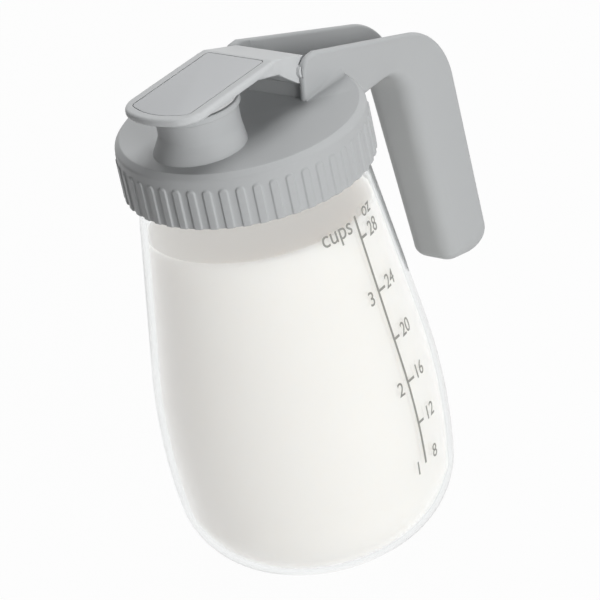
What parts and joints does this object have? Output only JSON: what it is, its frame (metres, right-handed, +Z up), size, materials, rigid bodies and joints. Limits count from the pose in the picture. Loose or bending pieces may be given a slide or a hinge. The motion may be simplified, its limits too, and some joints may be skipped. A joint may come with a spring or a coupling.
{
  "type": "milk pitcher",
  "caption": "Clear round-bellied pitcher with a ribbed screw lid that carries a side handle and a spout with a hinged cover.",
  "frame": {"origin": "the middle of the bottle's round foot, on the table", "axes": "+Z up along the bottle's axis; the spout is toward -Y and the handle toward +Y; +X is the right-hand side of someone looking along the spout from behind it"},
  "size_m": [0.1024, 0.1531, 0.1898],
  "materials": {
    "bottle_glass": "clear, smooth",
    "silicone": "soft, matt, translucent grey",
    "lid_plastic": "fine satin, cool light grey",
    "cover_plastic": "fine satin, slightly lighter grey"
  },
  "bodies": {
    "bottle": {"bottle": "bottle_glass"},
    "seal": {"seal_ring": "silicone"},
    "lid": {"lid": "lid_plastic"},
    "cover": {"spout_cover": "cover_plastic", "cover_inlay": "cover_plastic", "spout_plug": "silicone"}
  },
  "joints": [
    {"name": "lid_rise", "type": "slide", "parent": "bottle", "child": "seal", "axis": [0, 0, 1], "range_m": [0, 0.00585]},
    {"name": "lid_turn", "type": "hinge", "parent": "seal", "child": "lid", "pos_m": [0, 0, 0.168], "axis": [0, 0, 1], "range_deg": [0, 420]},
    {"name": "cover_hinge", "type": "hinge", "parent": "lid", "child": "cover", "pos_m": [0, 0.0187, 0.1796], "axis": [-1, 0, 0], "range_deg": [0, 110]}
  ],
  "couplings": [
    {"joint": "lid_rise", "follows": "lid_turn", "m_per_rad": 0.00079577}
  ]
}
